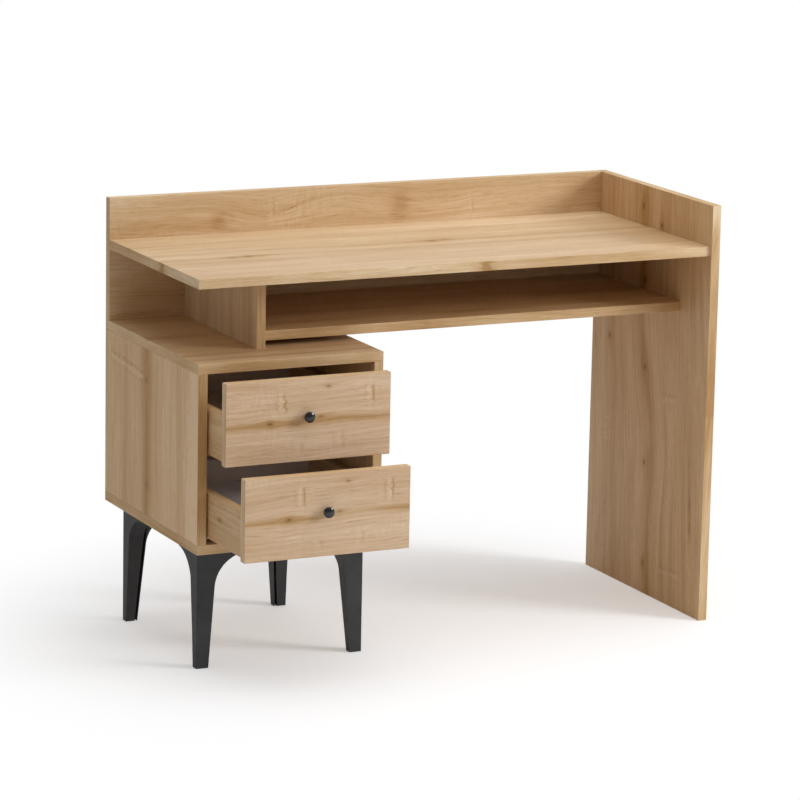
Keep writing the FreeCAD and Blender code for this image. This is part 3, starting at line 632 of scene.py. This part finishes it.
# Other materials: the noise from which their clouds begin and are full
CLOUD_FROM = 0.30
CLOUD_FULL = 0.70
# Painted shade: a darker, warmer copy of the white board for the insides, painting the shade and brown
# bounce inside the pedestal
SHADED_INSIDE_WHITE = ((0.72, 0.66, 0.63), (0.78, 0.73, 0.71))
# Painted light: a lighter copy of the same white for the drawer bottoms, painting the light that falls on
# them
LIT_BOTTOM_WHITE = ((0.90, 0.85, 0.84), (0.94, 0.90, 0.89))


def plain_finish(name, colours, cloud_waves, fine_waves, rough, rough_spread, relief, relief_depth,
                 cloud_detail=2.0, fine_detail=2.0, **sockets):
    """A material with a faint cloud between two colours and a fine grain in its gloss and relief."""
    s = Shade(name)
    place = s.coordinates()
    cloud = s.noise(place, cloud_waves, cloud_detail)
    fine = s.noise(place, fine_waves, fine_detail)
    s.set(Base_Color=s.ramp(cloud, tuple(zip((CLOUD_FROM, CLOUD_FULL), colours))))
    s.set(Roughness=s.add(rough, s.times(fine, rough_spread)), **sockets)
    s.bump(fine, relief, relief_depth)
    return s.material


def white_board(name, colours):
    """White lacquered board with a faint orange-peel."""
    return plain_finish(
        name, colours, cloud_waves=14.0, cloud_detail=3.0, fine_waves=900.0,
        rough=0.34, rough_spread=0.14, relief=0.05, relief_depth=0.0003, Specular_IOR_Level=0.4)


FINISHES = {
    # The darker inside white, painted shade
    "white_board": white_board("white_board", SHADED_INSIDE_WHITE),
    "black_plastic": plain_finish(
        "black_plastic", ((0.040, 0.041, 0.043), (0.054, 0.055, 0.058)),
        cloud_waves=22.0, fine_waves=2600.0, rough=0.46, rough_spread=0.18,
        relief=0.10, relief_depth=0.0002, Specular_IOR_Level=0.42),
    "gunmetal": plain_finish(
        "gunmetal", ((0.020, 0.020, 0.021), (0.030, 0.030, 0.031)),
        cloud_waves=60.0, fine_waves=1800.0, rough=0.10, rough_spread=0.08,
        relief=0.05, relief_depth=0.0002, Specular_IOR_Level=0.62),
    "zinc_steel": plain_finish(
        "zinc_steel", ((0.50, 0.505, 0.515), (0.64, 0.64, 0.645)),
        cloud_waves=45.0, fine_waves=700.0, fine_detail=3.0, rough=0.28, rough_spread=0.20,
        relief=0.06, relief_depth=0.0002, Metallic=1.0),
    "nylon": plain_finish(
        "nylon", ((0.64, 0.64, 0.60), (0.74, 0.73, 0.69)),
        cloud_waves=80.0, fine_waves=1500.0, rough=0.38, rough_spread=0.14,
        relief=0.05, relief_depth=0.0002),
    "dowel_beech": plain_finish(
        "dowel_beech", ((0.56, 0.40, 0.25), (0.70, 0.54, 0.36)),
        cloud_waves=160.0, cloud_detail=3.0, fine_waves=160.0, fine_detail=3.0,
        rough=0.58, rough_spread=0.2, relief=0.10, relief_depth=0.0003),
}

# Drawer bottoms take the lighter copy of the white, painted light
for level in ("upper", "lower"):
    BOARDS[level + "_drawer_bottom"] = white_board(level + "_lit_white_bottom", LIT_BOTTOM_WHITE)

slots = {row["node"]: row["material_slot"] for row in frame["record"]["subparts"]}
for name, node in frame["nodes"].items():
    node.data.materials.clear()
    node.data.materials.append(BOARDS.get(name) or FINISHES[slots[name]])


# Stage, light and camera

def make_floor():
    """A white floor that keeps the shadow near the desk and fades to pure white."""
    half = FLOOR_SIDE / 2
    corners = [(-half, -half, 0), (half, -half, 0), (half, half, 0), (-half, half, 0)]
    mesh = bpy.data.meshes.new("floor")
    mesh.from_pydata(corners, [], [(0, 1, 2, 3)])
    floor = bpy.data.objects.new("floor", mesh)
    bpy.context.scene.collection.objects.link(floor)

    s = Shade("studio_floor")
    place = s.coordinates()
    cloud = s.noise(place, FLOOR_CLOUD_WAVES)
    s.set(Base_Color=s.blend(cloud, FLOOR_COLOUR, FLOOR_CLOUD))
    s.set(Roughness=FLOOR_ROUGHNESS, Specular_IOR_Level=FLOOR_SHINE)
    length = s.nodes.new("ShaderNodeVectorMath")
    length.operation = "LENGTH"
    s.links.new(place, length.inputs[0])
    fade = s.span(length.outputs["Value"], FLOOR_NEAR, FLOOR_FAR)
    seen = s.nodes.new("ShaderNodeLightPath").outputs["Is Camera Ray"]
    lift = s.nodes.new("ShaderNodeEmission")
    s.links.new(s.times(seen, FLOOR_LIFT), lift.inputs["Strength"])
    lifted = s.nodes.new("ShaderNodeAddShader")
    s.links.new(s.shader.outputs[0], lifted.inputs[0])
    s.links.new(lift.outputs[0], lifted.inputs[1])
    white = s.nodes.new("ShaderNodeEmission")
    mix = s.nodes.new("ShaderNodeMixShader")
    s.links.new(s.times(fade, seen), mix.inputs[0])
    s.links.new(lifted.outputs[0], mix.inputs[1])
    s.links.new(white.outputs[0], mix.inputs[2])
    s.links.new(mix.outputs[0], s.nodes["Material Output"].inputs["Surface"])
    mesh.materials.append(s.material)


def make_world():
    """White to the camera and, toward the back, in reflections; a soft sky for the light."""
    world = bpy.data.worlds.new("studio")
    bpy.context.scene.world = world
    world.use_nodes = True
    nodes = world.node_tree.nodes
    links = world.node_tree.links
    first, second = MIX_NUMBERS
    back = nodes["Background"]
    back.inputs["Color"].default_value = (1, 1, 1, 1)
    path = nodes.new("ShaderNodeLightPath")
    toward = nodes.new("ShaderNodeSeparateXYZ")
    links.new(nodes.new("ShaderNodeTexCoord").outputs["Generated"], toward.inputs[0])
    backdrop = nodes.new("ShaderNodeMapRange")
    links.new(toward.outputs["Y"], backdrop.inputs["Value"])
    backdrop.inputs["From Min"].default_value = BACKDROP_FROM
    backdrop.inputs["From Max"].default_value = BACKDROP_FULL
    backdrop.inputs["To Min"].default_value = ROOM
    backdrop.inputs["To Max"].default_value = WHITE
    shiny = nodes.new("ShaderNodeMix")
    links.new(path.outputs["Is Glossy Ray"], shiny.inputs[MIX_FACTOR])
    shiny.inputs[first].default_value = SKY
    links.new(backdrop.outputs["Result"], shiny.inputs[second])
    seen = nodes.new("ShaderNodeMix")
    links.new(path.outputs["Is Camera Ray"], seen.inputs[MIX_FACTOR])
    links.new(shiny.outputs[MIX_NUMBER_OUT], seen.inputs[first])
    seen.inputs[second].default_value = WHITE
    links.new(seen.outputs[MIX_NUMBER_OUT], back.inputs["Strength"])


def make_lamp(name, place, side, power):
    """A square softbox turned to the desk."""
    data = bpy.data.lights.new(name, "AREA")
    data.shape = "RECTANGLE"
    data.size = side
    data.size_y = side
    data.energy = power
    lamp = bpy.data.objects.new(name, data)
    lamp.location = place
    lamp.rotation_euler = (Vector(LAMP_TARGET) - Vector(place)).to_track_quat("-Z", "Y").to_euler()
    bpy.context.scene.collection.objects.link(lamp)


def make_camera():
    """The photograph's view."""
    data = bpy.data.cameras.new("camera")
    data.lens = CAMERA_LENS
    data.sensor_width = CAMERA_SENSOR
    data.clip_end = CAMERA_REACH
    camera = bpy.data.objects.new("camera", data)
    up = tuple(-value for value in CAMERA_DOWN)
    toward = tuple(-value for value in CAMERA_FORWARD)
    turn = Matrix((CAMERA_RIGHT, up, toward)).transposed()
    camera.matrix_world = Matrix.Translation(CAMERA_PLACE) @ turn.to_4x4()
    bpy.context.scene.collection.objects.link(camera)
    bpy.context.scene.camera = camera


bpy.context.scene.view_settings.view_transform = "Standard"
make_floor()
make_world()
make_lamp("overhead_softbox", OVERHEAD_PLACE, OVERHEAD_SIDE, OVERHEAD_POWER)
make_lamp("key_softbox", KEY_PLACE, KEY_SIDE, KEY_POWER)
make_camera()
